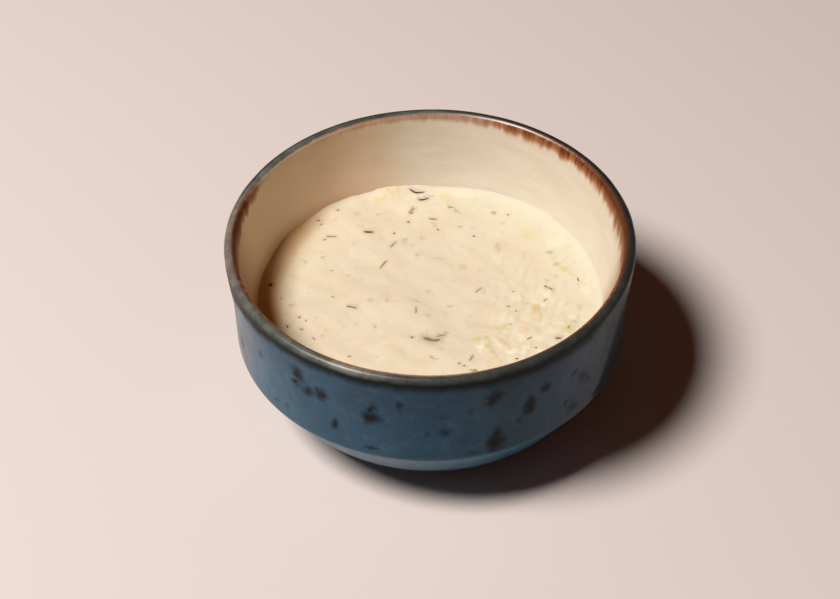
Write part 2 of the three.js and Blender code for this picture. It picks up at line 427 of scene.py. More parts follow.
def glaze_material():
    g = Tree("glazed_stoneware")
    P = g.coords()
    x, y, z = g.split(P)
    run = g.attr("lip_run")
    flat = g.join(x, y, 0.0)
    radius = g.vmath("LENGTH", flat)
    turn = g.math("ARCTAN2", y, x)
    part = g.math("ADD", g.math("MULTIPLY", turn, 0.5 / math.pi), 0.5)
    ramp = g.t.nodes.new("ShaderNodeValToRGB")
    g.put(ramp.inputs[0], part)
    ramp.color_ramp.interpolation = "EASE"
    els = ramp.color_ramp.elements
    stops = [((d + 180) / 360, (k, length / 10, light * 5, gloss)) for d, k, length, light, gloss in LIP_ROUND]
    stops.append((1.0, stops[0][1]))
    els[0].position, els[0].color = stops[0]
    els[1].position, els[1].color = stops[-1]
    for pos, c in stops[1:-1]:
        els.new(pos).color = c
    brown_k, run_k, light_k = g.split(ramp.outputs["Color"])
    gloss_k = ramp.outputs["Alpha"]

    # --- the blue outside, mottled
    m1 = g.noise(P, 0.055, 4.0, 0.55, 0.6).outputs["Fac"]
    m2 = g.noise(P, 0.35, 5.0, 0.6).outputs["Fac"]
    m3 = g.noise(g.vmath("MULTIPLY", P, (1.0, 1.0, 0.35)), 0.9, 4.0, 0.6).outputs["Fac"]
    # the glaze across the wall, with its painted sheen and reflection at the sides
    across = g.t.nodes.new("ShaderNodeValToRGB")
    g.put(across.inputs[0], g.rng(x, -50.3, 50.3, kind="LINEAR"))
    els = across.color_ramp.elements
    els[0].color, els[1].color = (*WALL_GLAZE[0][1], 1), (*WALL_GLAZE[-1][1], 1)
    for at, c in WALL_GLAZE[1:-1]:
        els.new((at + 50.3) / 100.6).color = (*c, 1)
    blue = g.mix(g.rng(y, -8.0, 13.0), across.outputs["Color"], WALL_BACK)
    blue = g.vmath("SCALE", blue, scale=g.rng(m1, 0.36, 0.64, 0.90, 1.10))
    blue = g.mix(g.rng(m2, 0.52, 0.72, 0.0, 0.20), blue, BLUE_PALE)
    blue = g.mix(g.rng(m3, 0.50, 0.30, 0.0, 0.30), blue, BLUE_DEEP)
    # deeper high up at the front right and high up at the left; painted shade low down at the right; a painted pale
    # reflection under the lip there
    front = g.rng(y, 15.0, -5.0)
    blotch = g.math("MULTIPLY", g.math("SUBTRACT", m2, 0.5), 3.0)
    blue = g.mix(g.math("MULTIPLY", g.math("MULTIPLY", g.rng(z, 34.0, 41.0), g.rng(x, 8.0, 18.0)), g.rng(x, 35.0, 29.0)), blue, (0.74, 0.78, 0.80), "MULTIPLY")
    high = g.math("SUBTRACT", g.math("ADD", z, blotch), g.math("MAXIMUM", g.math("MULTIPLY_ADD", x, 6.0, 322.0), 34.0))
    blue = g.mix(g.math("MULTIPLY", g.rng(high, -4.5, 3.5), g.rng(y, 2.0, -12.0)), blue, (0.60, 0.61, 0.62), "MULTIPLY")
    # painted shade: the lower wall at the right, away from the lamp, is painted near black
    low = g.math("SUBTRACT", g.math("MINIMUM", g.math("MULTIPLY_ADD", x, 2.45, -73.5), 41.0), g.math("ADD", z, blotch))
    blue = g.mix(g.math("MULTIPLY", g.math("MULTIPLY", g.rng(low, -3.0, 3.5), front), 0.92), blue, (0.012, 0.018, 0.022))
    # painted reflection: a pale grey patch under the lip at the right
    blue = g.mix(g.math("MULTIPLY", g.rng(g.math("MULTIPLY_ADD", x, 5.3, z), 291.5, 299.5), g.rng(y, -2.0, -13.0)), blue, (0.245, 0.216, 0.188))

    # --- fuzzy brown-black spots with a dim halo
    spot, brown = g.attr("spot"), g.attr("spot_brown")
    dust = g.noise(P, 1.6, 4.0, 0.65).outputs["Fac"]
    ragged = g.math("MULTIPLY", g.math("SUBTRACT", dust, 0.5), g.rng(spot, 0.0, 0.5, 0.0, 0.55))
    mask = g.rng(g.math("ADD", spot, ragged), 0.0, 1.05, kind="LINEAR")
    pits = g.math("MULTIPLY", g.rng(dust, 0.66, 0.78), g.rng(m2, 0.55, 0.66))
    outside = g.rng(run, 3.2, 5.2)
    mask = g.math("MAXIMUM", mask, g.math("MULTIPLY", pits, 0.40))
    mask = g.math("MULTIPLY", mask, outside)
    col = g.mix(g.rng(mask, 0.0, 0.60), blue, (0.46, 0.50, 0.52), "MULTIPLY")
    col = g.mix(g.rng(mask, 0.42, 1.0), col, SPOT_DARK)
    col = g.mix(g.math("MULTIPLY", g.math("MULTIPLY", brown, outside), g.rng(dust, 0.40, 0.60, 0.0, 1.0)), col, SPOT_BROWN)

    # --- below the ledge the glaze pools paler and bluer
    pool = g.mix(g.rng(x, -10.0, 22.0), POOL_LEFT, POOL_RIGHT)
    pooled = g.math("MULTIPLY", g.rng(g.math("ADD", z, g.math("MULTIPLY", g.math("SUBTRACT", m2, 0.5), 1.6)), 22.2, 19.6), g.rng(z, 6.0, 13.0, 0.25, 0.95))
    pooled = g.math("MULTIPLY", pooled, g.rng(mask, 0.7, 0.1))
    pooled = g.math("MULTIPLY", pooled, g.math("SUBTRACT", 1.0, g.math("MULTIPLY", g.rng(x, 4.0, 20.0), g.rng(z, 17.0, 13.5, 0.0, 0.85))))
    col = g.mix(g.math("MULTIPLY", pooled, g.rng(m2, 0.35, 0.6, 0.55, 1.0)), col, pool)

    # --- lip: a dark band outside with a soft lower edge, a grey-green top painted lighter where the light falls
    around = g.noise(g.vmath("MULTIPLY", P, (1.0, 1.0, 0.22)), 0.30, 4.0, 0.6).outputs["Fac"]
    wobble = g.math("MULTIPLY", g.math("SUBTRACT", around, 0.5), 2.2)
    run_w = g.math("ADD", run, wobble)
    # the dark band gives way at the front right, where the painted grey reflection of the wall shows instead
    band = g.math("MULTIPLY", g.rng(g.math("SUBTRACT", run_w, g.rng(x, -36.0, -44.0, 0.0, 1.4)), 5.9, 2.7), g.math("SUBTRACT", 1.0, g.math("MULTIPLY", g.rng(x, 35.5, 43.5, 0.0, 0.92), front)))
    col = g.mix(band, col, BAND)
    top_n = g.noise(P, 0.30, 4.0, 0.6).outputs["Fac"]
    # painted light: the lip's top is lighter on the left, where the lamp falls, with a painted highlight at the front
    # left
    light = g.math("MULTIPLY", g.math("MULTIPLY", light_k, 0.2), g.rng(top_n, 0.30, 0.70, 0.70, 1.30))
    top = g.vmath("SCALE", (0.90, 1.13, 1.05), scale=light)
    top = g.mix(g.rng(g.noise(P, 0.85, 3.0, 0.6).outputs["Fac"], 0.55, 0.72, 0.0, 0.35), top, (0.012, 0.022, 0.020))
    top = g.mix(g.rng(x, -42.0, -48.5), top, (1.36, 1.00, 0.97), "MULTIPLY")
    turned = g.math("ADD", g.math("ADD", run, g.math("MULTIPLY", wobble, 0.30)), g.rng(y, -5.0, 25.0, 0.0, 1.7))
    col = g.mix(g.rng(turned, 2.7, 1.1), col, top)

    # --- inside: cream glaze, browned where it breaks over the lip, in short soft streaks
    ci1 = g.noise(g.vmath("MULTIPLY", P, (0.35, 0.35, 1.5)), 0.30, 4.0, 0.55).outputs["Fac"]
    ci2 = g.noise(P, 0.09, 3.0, 0.5).outputs["Fac"]
    cream = g.mix(g.rng(ci1, 0.35, 0.65), CREAM_A, CREAM_B)
    cream = g.mix(g.rng(ci2, 0.45, 0.70, 0.0, 0.5), cream, CREAM_C)
    # painted bounce light: the left of the inside, in shade, is painted warmer and lighter
    left = g.rng(x, 2.0, -42.0)
    cream = g.mix(left, cream, CREAM_LEFT)
    cream = g.mix(g.math("MULTIPLY", g.rng(x, -3.0, -14.0), g.rng(x, -36.0, -27.0)), cream, (0.93, 0.86, 0.82), "MULTIPLY")
    # painted shade: the left wall, turned from the light, is painted warmer and darker
    cream = g.mix(g.math("MULTIPLY", g.rng(y, 14.0, -8.0), g.rng(x, -36.0, -43.0)), cream, (0.62, 0.47, 0.42), "MULTIPLY")
    # painted shadow low on the left by the sauce line, partly a real wet film
    cream = g.mix(g.math("MULTIPLY", g.rng(z, 32.5, 28.3), g.rng(x, 0.0, -32.0)), cream, (0.90, 0.79, 0.68), "MULTIPLY")
    cream = g.mix(g.math("MULTIPLY", g.rng(y, 3.0, -8.0), g.rng(x, 30.0, 40.0)), cream, (0.62, 0.50, 0.42), "MULTIPLY")
    depth = g.math("MULTIPLY", run, -1.0)
    Pr = g.vmath("MULTIPLY", P, (1.0, 1.0, 0.12))
    s_big = g.noise(Pr, 0.20, 2.0, 0.5).outputs["Fac"]
    s_mid = g.noise(g.vmath("ADD", Pr, (13.0, 5.0, 0.0)), 0.55, 3.0, 0.6).outputs["Fac"]
    s_fine = g.noise(g.vmath("ADD", Pr, (3.0, 45.0, 0.0)), 1.5, 3.0, 0.6).outputs["Fac"]
    share = g.math("ADD", g.rng(s_big, 0.36, 0.64, 0.84, 1.04), g.rng(s_mid, 0.34, 0.66, -0.10, 0.11))
    share = g.math("ADD", share, g.rng(s_fine, 0.32, 0.68, -0.03, 0.03))
    length = g.math("MULTIPLY", g.math("MULTIPLY", run_k, 10.0), share)
    t = g.math("DIVIDE", depth, g.math("MAXIMUM", length, 0.4))
    q = g.rng(t, 1.65, 0.30, kind="LINEAR")
    streak = g.math("ADD", g.rng(s_mid, 0.34, 0.60, 0.50, 0.94), g.rng(s_fine, 0.36, 0.64, -0.10, 0.14), clamp=True)
    streak = g.math("MAXIMUM", streak, g.rng(brown_k, 0.75, 1.0, 0.0, 0.86))
    tint = g.math("MULTIPLY", g.rng(q, 0.0, 0.55), g.rng(brown_k, 0.05, 0.7, 0.0, 0.95))
    body = g.math("MULTIPLY", g.math("MULTIPLY", g.rng(q, 0.20, 0.86), streak), g.rng(brown_k, 0.05, 0.9, 0.05, 1.0))
    deep = g.math("MULTIPLY", g.math("MULTIPLY", g.rng(q, 0.66, 0.95), g.rng(streak, 0.55, 1.0)), brown_k)
    inner = g.mix(tint, cream, TAN)
    inner = g.mix(body, inner, BROWN)
    inner = g.mix(g.math("MULTIPLY", deep, g.rng(brown_k, 0.8, 1.0, 0.62, 0.90)), inner, BROWN_DEEP)
    start = g.math("ADD", g.math("ADD", depth, g.math("MULTIPLY", g.math("SUBTRACT", s_mid, 0.5), 1.0)), g.math("ADD", g.rng(brown_k, 0.1, 0.85, -0.70, 0.20), g.math("MULTIPLY", g.rng(y, -38.0, -45.0), g.rng(x, 24.0, 4.0, 0.0, 0.75))))
    shoulder = g.mix(g.rng(start, 0.20, 1.10), top, inner)
    col = g.mix(g.rng(run, 0.25, -0.25), col, shoulder)

    # --- bare clay under the foot
    clay_n = g.noise(P, 1.3, 5.0, 0.65).outputs["Fac"]
    clay = g.mix(g.rng(clay_n, 0.35, 0.65), (0.43, 0.31, 0.20), (0.54, 0.41, 0.28))
    clay = g.mix(g.rng(g.noise(P, 3.2, 2.0, 0.5).outputs["Fac"], 0.66, 0.74), clay, (0.20, 0.12, 0.07))
    foot_edge = g.math("ADD", z, g.math("MULTIPLY", g.math("SUBTRACT", m2, 0.5), 1.2))
    bare = g.math("MULTIPLY", g.rng(foot_edge, 1.5, 1.1), g.rng(radius, 26.6, 26.9))
    col = g.mix(bare, col, clay)

    rough_n = g.noise(P, 0.25, 4.0, 0.6).outputs["Fac"]
    rough = g.math("ADD", g.rng(rough_n, 0.3, 0.7, -0.04, 0.05), g.rng(run, -1.4, 0.6, 0.42, 0.36))
    rough = g.math("ADD", rough, g.math("MULTIPLY", mask, 0.10))
    rough = g.math("ADD", rough, g.math("MULTIPLY", bare, 0.50), clamp=True)
    hgt = g.noise(P, 0.55, 3.0, 0.5).outputs["Fac"]
    nrm = g.bump(hgt, 0.22, 0.16)
    fine = g.noise(P, 2.6, 3.0, 0.55).outputs["Fac"]
    nrm = g.bump(fine, 0.14, 0.04, nrm)
    nrm = g.bump(g.math("ADD", mask, g.math("MULTIPLY", bare, clay_n)), 0.30, 0.06, nrm)
    # the lip and the pooled glaze under the ledge are the glossiest
    gloss = g.math("MULTIPLY", g.math("MULTIPLY", g.rng(run, 1.9, 1.1), g.rng(run, -1.7, -1.1)), gloss_k)
    gloss = g.math("MAXIMUM", gloss, g.math("MULTIPLY", g.math("MULTIPLY", g.rng(z, 21.4, 19.6), g.rng(run, 10.0, 12.0)), g.rng(x, -42.0, -28.0, 0.14, 0.34)))
    gloss = g.math("MULTIPLY", gloss, g.math("SUBTRACT", 1.0, bare))
    return g.set(color=col, rough=rough, ior=1.16, normal=nrm, coat=gloss, coat_rough=0.36, coat_ior=1.80)


# ------------------------------------------------------------------ the sauce
# pickle under or at the skin: x, y, half length, half width, height, turn, then how yellow-green, how rusty and how
# white (a painted highlight on faces towards the light)
LUMPS = [
    (-9.4, 40.4, 2.6, 1.3, 0.26, 10, 0.50, 0.0, 0.0), (-13.3, 37.8, 1.7, 1.2, 0.20, 40, 0.44, 0.0, 0.0), (-18.5, 39.6, 2.4, 0.8, 0.22, 14, 0.0, 0.0, 0.6),
    (-12.5, 42.0, 2.6, 0.7, 0.18, 18, 0.0, 0.0, 0.5), (4.4, 38.6, 1.6, 2.4, 0.12, 0, 0.45, 0.0, 0.0), (11.0, 36.2, 2.8, 1.6, 0.08, 0, 0.30, 0.0, 0.0),
    (26.0, 23.5, 2.6, 2.4, 0.10, 0, 0.40, 0.0, 0.0), (24.3, 16.0, 1.8, 1.1, 0.08, 0, 0.0, 0.35, 0.0), (34.3, 9.8, 1.7, 0.9, 0.12, -25, 0.65, 0.2, 0.0),
    (36.6, 7.8, 1.2, 0.6, 0.10, 10, 0.60, 0.0, 0.0), (33.0, 20.0, 2.2, 1.8, 0.10, 30, 0.15, 0.0, 0.4), (8.5, 40.0, 3.0, 1.2, 0.10, -8, 0.25, 0.0, 0.45),
    # front right
    (11.3, -15.3, 1.0, 0.7, 0.12, 10, 0.65, 0.0, 0.0), (12.3, -18.5, 0.75, 1.3, 0.30, 8, 0.15, 0.0, 0.95), (15.0, -15.9, 1.2, 0.55, 0.26, 30, 0.55, 0.0, 0.7),
    (13.6, -15.8, 0.45, 1.0, 0.14, 10, 0.70, 0.0, 0.0), (13.9, -17.9, 0.45, 1.3, 0.12, 8, 0.75, 0.1, 0.0), (14.6, -20.2, 0.45, 1.4, 0.12, 14, 0.60, 0.15, 0.0),
    (15.5, -22.2, 0.5, 1.1, 0.12, 22, 0.45, 0.1, 0.0), (17.5, -17.0, 1.5, 0.55, 0.16, -58, 0.20, 0.55, 0.0), (20.4, -20.0, 1.6, 1.0, 0.26, 12, 0.10, 0.0, 0.95),
    (18.4, -21.4, 1.3, 0.6, 0.14, -20, 0.35, 0.0, 0.3), (17.1, -11.5, 2.1, 0.75, 0.14, -6, 0.50, 0.25, 0.0), (22.9, -12.6, 1.1, 1.1, 0.12, 30, 0.45, 0.15, 0.0),
    (24.1, -7.1, 1.2, 0.8, 0.22, -50, 0.20, 0.0, 0.85), (25.6, -4.6, 0.8, 1.0, 0.16, 20, 0.70, 0.2, 0.0), (26.3, -5.4, 0.7, 1.2, 0.18, 10, 0.45, 0.48, 0.0),
    (26.9, -7.9, 0.55, 1.2, 0.14, 6, 0.25, 0.60, 0.0), (18.3, -7.7, 1.5, 0.8, 0.12, 0, 0.15, 0.0, 0.35), (21.0, 1.5, 1.1, 0.5, 0.12, -6, 0.75, 0.15, 0.0),
    (22.2, 1.9, 0.8, 0.5, 0.10, 20, 0.30, 0.0, 0.6), (28.4, 1.2, 1.6, 0.6, 0.12, -10, 0.0, 0.20, 0.0), (30.4, -0.4, 1.8, 0.9, 0.14, -60, 0.0, 0.0, 0.45),
    (33.8, -12.2, 1.5, 0.8, 0.16, 40, 0.80, 0.0, 0.0), (30.0, -12.4, 1.4, 0.8, 0.14, -40, 0.10, 0.0, 0.5), (27.4, -15.0, 1.6, 0.9, 0.14, 20, 0.10, 0.1, 0.35),
    (33.2, -5.2, 1.3, 1.0, 0.12, 40, 0.25, 0.0, 0.3), (35.2, -8.8, 1.3, 0.6, 0.12, 60, 0.0, 0.0, 0.5), (9.9, -20.4, 1.0, 0.6, 0.10, 0, 0.35, 0.0, 0.2),
    (22.4, -17.6, 1.3, 0.6, 0.12, -30, 0.30, 0.15, 0.0), (37.6, 3.6, 0.5, 0.9, 0.10, 0, 0.45, 0.40, 0.0), (39.4, 1.2, 0.9, 1.6, 0.10, -10, 0.0, 0.0, 0.5),
]


def all_lumps():
    """The listed pieces, and small faint ones among them at the right."""
    r = random.Random(5)
    out = list(LUMPS)
    n = 0
    while n < 46:
        x, y = r.gauss(25.0, 6.5), r.gauss(-4.0, 11.0)
        if math.hypot(x, y) > 39.5 or x < 10:
            continue
        n += 1
        s = r.uniform(0.45, 1.0)
        kind = r.random()
        hue = (r.uniform(0.15, 0.45), 0.0, 0.0) if kind < 0.5 else (0.0, r.uniform(0.1, 0.3), 0.0) if kind < 0.65 else (0.0, 0.0, r.uniform(0.2, 0.5))
        out.append((x, y, s * r.uniform(1.0, 2.0), s, r.uniform(0.05, 0.15), r.uniform(0, 180), *hue))
    return out


def sauce_height(x, y):
    """Height of the surface in mm, and how much pickle, rust and painted highlight show, at points x, y."""
    r = np.hypot(x, y)
    a = np.arctan2(y, x)
    edge = hollow_radius(LEVEL)
    u = r / edge
    z = LEVEL + 0.05 - 0.0065 * x
    z = z + 0.16 * Waves(21, 26.0, dims=2)(x, y) + 0.055 * Waves(22, 9.0, dims=2)(x, y) + 0.016 * Waves(23, 3.4, dims=2)(x, y)
    # long shallow marks of the spoon, drawn round in arcs
    sweep = np.hypot(x - 12.0, y + 30.0)
    z = z + 0.07 * np.sin(sweep * 0.62 + 0.8 * Waves(24, 30.0, dims=2)(x, y)) * smooth(0.95, 0.4, u)
    hues = [np.zeros_like(z) for _ in range(3)]
    jx = 0.30 * Waves(26, 2.6, 12, 0.4, dims=2)(x, y)
    jy = 0.30 * Waves(27, 2.6, 12, 0.4, dims=2)(x, y)
    for cx, cy, p, q, h, turn, *show in all_lumps():
        c, s = math.cos(math.radians(turn)), math.sin(math.radians(turn))
        ux, uy = x - cx + jx, y - cy + jy
        lx, ly = ux * c + uy * s, -ux * s + uy * c
        d = np.hypot(lx / p, ly / q) / (1.42 if cx > 10 and cy < 2 else 1.12)
        z = z + h * smooth(1.7, 0.2, d) * (1 + 0.35 * lx / p)
        for hue, k in zip(hues, show):
            np.maximum(hue, k * smooth(1.5, 0.3, d), out=hue)
    crowd = smooth(9, 20, x) * smooth(18, -6, y - 0.4 * x)
    z = z + 0.045 * crowd * Waves(28, 2.4, 14, 0.4, dims=2)(x, y)
    # the edge: it clings to the wall, and rolls over softly where the spoon left it thick
    cling = 0.50 + 0.32 * np.sin(3 * a + 0.8) + 0.18 * np.sin(7 * a + 2.1) + 0.10 * np.sin(17 * a)
    film = smooth(-45, 10, np.degrees(a)) * smooth(100, 60, np.degrees(a))
    v = np.clip(u, 0, 1.05)
    z = z + 0.50 * cling * v**18 + (0.25 + 0.75 * film) * 0.6 * v**60
    for deg, w, h in ((118, 9.0, 0.30), (103, 5.0, 0.28), (108, 2.5, 0.12), (94, 3.5, 0.15), (150, 7.0, 0.15)):
        da = np.abs((np.degrees(a) - deg + 180) % 360 - 180)
        z = z + h * np.exp(-((da / w) ** 2)) * smooth(0.84, 0.97, u)
    return z, hues


# herb pieces that lie on or in the skin: kind, x, y, length, turn, width, how dark
HERBS = [
    # back left
    ("dot", -24.1, 32.8, 0.9, 20, 0.36, 0.65), ("dot", -29.2, 29.2, 0.9, -10, 0.40, 0.63), ("dot", -28.4, 27.8, 0.6, -37, 0.38, 0.62),
    ("needle", -25.6, 23.0, 2.6, 0, 0.33, 0.60), ("dot", -27.4, 21.8, 0.8, 17, 0.32, 0.67), ("needle", -15.9, 24.35, 2.6, -5, 0.58, 1.00),
    ("dot", -5.4, 28.6, 0.8, -29, 0.53, 1.00), ("dot", -9.15, 23.85, 0.8, -37, 0.35, 0.71), ("needle", -9.4, 19.5, 2.8, 55, 0.34, 0.69),
    ("needle", -12.0, 12.2, 3.3, 58, 0.30, 0.70), ("patch", -4.4, 33.4, 3.3, 62, 1.10, 0.40), ("dot", -4.6, 32.1, 0.9, 20, 0.49, 0.90),
    ("dot", -25.2, 10.2, 0.9, -14, 0.26, 0.32),
    ("pale", -27.3, 15.5, 1.7, 43, 0.30, 0.35), ("pale", -32.3, 13.4, 1.7, 60, 0.35, 0.32), ("pale", -19.5, 20.3, 1.0, 0, 0.40, 0.35),
    ("pale", -17.9, 26.8, 1.9, -8, 0.40, 0.35), ("pale", -12.6, 32.1, 2.2, 4, 0.42, 0.30), ("pale", -24.8, 29.6, 1.1, 10, 0.45, 0.25),
    ("pale", -19.1, 31.9, 1.3, 37, 0.70, 0.20), ("pale", -6.6, 20.8, 1.5, 59, 0.80, 0.40), ("pale", -4.1, 19.4, 0.8, 0, 0.40, 0.30),
    ("pale", -3.0, 15.9, 1.3, -30, 0.38, 0.40), ("pale", -21.1, 8.1, 1.9, 0, 0.30, 0.28), ("pale", -1.6, 21.9, 1.4, -30, 0.50, 0.28),
    # back right
    ("needle", 5.9, 34.3, 1.6, -8, 0.37, 0.66), ("pale", 7.4, 32.7, 2.3, -50, 0.60, 0.38), ("needle", 1.0, 29.4, 2.1, -12, 0.40, 0.63),
    ("pale", 1.3, 27.4, 2.4, -62, 0.50, 0.30), ("dot", 2.3, 25.2, 0.9, -36, 0.40, 0.48), ("pale", 8.3, 26.2, 1.4, 15, 0.60, 0.48),
    ("dot", 11.7, 22.4, 0.9, -17, 0.44, 0.54), ("pale", 11.8, 25.6, 1.9, -10, 0.40, 0.22), ("pale", 17.3, 32.0, 1.1, -11, 0.65, 0.45),
    ("dot", 21.0, 31.2, 0.8, -16, 0.37, 0.32), ("pale", 17.7, 18.0, 2.6, 80, 0.80, 0.30), ("pale", 1.0, 39.0, 1.2, 30, 0.45, 0.35),
    ("pale", 8.8, 11.0, 1.9, -60, 0.80, 0.20), ("pale", 13.1, 9.0, 1.8, -57, 0.40, 0.18), ("pale", 31.2, 16.2, 1.5, -8, 0.50, 0.35),
    ("pale", 32.5, 11.8, 1.4, 12, 0.70, 0.42), ("pale", 32.1, 7.0, 1.0, 40, 0.50, 0.32), ("pale", 2.3, 14.3, 3.6, 3, 0.30, 0.16),
    ("pale", 18.4, 8.7, 0.8, 0, 0.40, 0.20), ("pale", 29.8, 5.2, 1.4, -40, 0.40, 0.30), ("pale", 19.4, 27.8, 1.2, 0, 0.60, 0.15),
    ("spice", 37.8, 5.8, 2.0, -86, 0.37, 0.61),
    # front left
    ("dot", -24.7, 0.1, 1.1, -45, 0.30, 0.36), ("needle", -19.9, -3.7, 2.7, -14, 0.44, 0.62), ("dot", -32.8, -7.4, 0.9, 60, 0.44, 0.49),
    ("dot", -31.1, -8.5, 1.0, 80, 0.26, 0.40), ("pale", -28.6, -7.3, 0.8, -8, 0.40, 0.35), ("dot", -35.6, -10.6, 1.1, -70, 0.37, 0.85),
    ("dot", -32.1, -11.5, 0.9, -15, 0.40, 0.45), ("dot", -29.0, -14.7, 1.4, -50, 0.35, 0.34), ("pale", -26.6, -13.7, 0.8, -65, 0.45, 0.25),
    ("dot", -20.1, -21.0, 0.9, 4, 0.44, 0.56), ("pale", -15.2, -1.4, 1.6, 40, 0.60, 0.22), ("pale", -10.8, -1.4, 0.8, -11, 0.45, 0.28),
    ("pale", -3.5, -1.8, 2.0, -30, 0.35, 0.32), ("needle", -3.7, -5.3, 2.3, 88, 0.26, 0.36), ("pale", -0.7, 1.8, 0.9, 15, 0.50, 0.35),
    ("pale", -0.6, -7.3, 0.9, 0, 0.70, 0.30), ("pale", -13.9, -10.4, 2.3, 86, 0.32, 0.34), ("pale", -18.6, -9.4, 1.0, 9, 0.60, 0.14),
    ("pale", -20.4, -15.0, 1.2, 0, 0.60, 0.16), ("dot", -4.8, -14.8, 0.9, 11, 0.46, 0.60), ("pale", -13.6, -21.0, 2.8, -35, 0.35, 0.18),
    ("pale", -34.9, -3.0, 1.2, 50, 0.60, 0.26), ("dot", -37.6, -0.5, 0.7, -62, 0.30, 0.39), ("dot", -40.6, 4.7, 1.25, -62, 0.95, 1.00),
    # front right
    ("needle", 9.7, -22.2, 2.5, 65, 0.32, 0.51), ("dot", 6.6, -24.1, 0.8, -23, 0.37, 0.41), ("dot", 7.9, -24.9, 0.8, -12, 0.35, 0.53),
    ("needle", 0.3, -22.1, 2.0, -38, 0.25, 0.46), ("pale", 2.2, -19.2, 1.3, 10, 0.40, 0.28), ("needle", 12.2, 1.9, 2.4, 51, 0.28, 0.32),
    ("pale", 3.2, -13.8, 2.3, 62, 1.20, 0.36), ("pale", 5.0, -3.7, 0.8, 4, 0.40, 0.30), ("pale", 9.5, -6.8, 1.1, -79, 0.30, 0.20),
    ("dot", 29.3, 3.2, 0.9, -50, 0.46, 0.72), ("needle", 30.3, 2.2, 1.7, -45, 0.33, 0.75), ("dot", 28.9, -2.0, 1.4, 35, 0.35, 0.41),
    ("dot", 19.6, -3.8, 1.4, 3, 0.30, 0.32), ("dot", 21.4, -5.4, 0.7, -21, 0.30, 0.32), ("pale", 16.0, -2.6, 0.9, -15, 0.40, 0.30),
    ("pale", 23.5, -2.9, 1.4, 33, 0.50, 0.26), ("spice", 21.1, 1.4, 0.8, -12, 0.26, 0.32), ("dot", 19.8, -10.4, 0.7, -32, 0.32, 0.32),
    ("spice", 24.3, -15.3, 1.7, 28, 0.40, 0.76), ("spice", 25.7, -18.7, 0.9, -17, 0.39, 0.88), ("spice", 20.8, -22.3, 0.9, 14, 0.36, 0.77),
    ("needle", 31.4, -15.3, 1.6, 13, 0.53, 0.81), ("dot", 34.1, -11.8, 0.9, 50, 0.37, 0.52), ("pale", 35.0, -9.9, 2.2, 52, 0.24, 0.45),
    ("pale", 37.4, -4.6, 1.3, 63, 0.55, 0.25),
]

# leaves, each a bent path across the skin: points, width, how dark
LEAVES = [
    (((-4.9, 41.9), (-3.3, 40.5), (-1.0, 40.8)), 0.62, 0.95), (((-2.7, 37.9), (-1.3, 37.8), (0.2, 38.6)), 0.66, 0.95),
    (((-2.0, -14.9), (0.3, -15.8), (2.3, -15.4)), 1.12, 0.62), (((1.4, -14.6), (2.4, -14.1), (3.4, -14.0)), 0.40, 0.22),
]


def all_herbs():
    """The listed pieces, and more of the same where the bowl's front hides the sauce."""
    r = random.Random(8)
    out = list(HERBS)
    n = 0
    while n < 26:
        a, q = math.radians(r.uniform(-160, -20)), r.uniform(27, 41)
        x, y = q * math.cos(a), q * math.sin(a)
        if y > -25.5:
            continue
        n += 1
        kind = r.choice(["needle", "dot", "dot", "pale", "pale", "spice" if x > 8 else "dot"])
        length = {"needle": r.uniform(1.6, 3.0), "dot": r.uniform(0.6, 0.9), "pale": r.uniform(0.8, 2.4), "spice": r.uniform(0.7, 1.2)}[kind]
        out.append((kind, x, y, length, r.uniform(-90, 90), r.uniform(0.25, 0.48), r.uniform(0.4, 0.9)))
    return out


def submerged(x, y):
    """How much grey-green shows through the skin at points x, y."""
    m = np.zeros_like(x)
    r = random.Random(31)
    jx = 0.16 * Waves(41, 1.7, 12, 0.4, dims=2)(x, y)
    jy = 0.16 * Waves(42, 1.7, 12, 0.4, dims=2)(x, y)
    flecks = []
    for kind, cx, cy, length, turn, w, dark in all_herbs():
        if kind in ("pale", "patch"):
            c, s = math.cos(math.radians(turn)), math.sin(math.radians(turn))
            for _ in range(3):
                t, side = r.uniform(-0.32, 0.32) * length, r.uniform(-0.3, 0.3) * w
                flecks.append((cx + t * c - side * s, cy + t * s + side * c, length * r.uniform(0.35, 0.75), turn + r.gauss(0, 14), w * r.uniform(0.7, 1.2), dark * r.uniform(0.7, 1.35)))
        elif kind == "needle":
            flecks.append((cx + 0.15, cy + 0.1, length * 1.25, turn, w * 2.2, 0.22 + 0.2 * dark))
        elif kind == "dot":
            flecks.append((cx + 0.1, cy + 0.1, length, turn, w * 1.7, 0.42 * dark))
    for points, w, dark in LEAVES:
        for (ax, ay), (bx, by) in zip(points[:-1], points[1:]):
            flecks.append(((ax + bx) / 2, (ay + by) / 2 + 0.15, math.hypot(bx - ax, by - ay) * 1.2, math.degrees(math.atan2(by - ay, bx - ax)), w * 2.4, 0.42))
    for _ in range(120):
        a, q = r.uniform(0, 2 * math.pi), 41 * math.sqrt(r.random())
        flecks.append((q * math.cos(a), q * math.sin(a), r.uniform(0.5, 2.2), r.gauss(0, 50), r.uniform(0.3, 0.8), r.uniform(0.04, 0.13)))
    for cx, cy, length, turn, w, k in flecks:
        c, s = math.cos(math.radians(turn)), math.sin(math.radians(turn))
        near = (np.abs(x - cx) < length + 2.5) & (np.abs(y - cy) < length + 2.5)
        xx, yy = x[near] - cx + jx[near], y[near] - cy + jy[near]
        lx, ly = xx * c + yy * s, -xx * s + yy * c
        dx = np.maximum(np.abs(lx) - length * 0.36, 0)
        d2 = dx**2 / (0.32 * w + 0.20) ** 2 + ly**2 / (0.55 * w + 0.16) ** 2
        m[near] = np.maximum(m[near], k * np.exp(-d2 * 0.9))
    return m


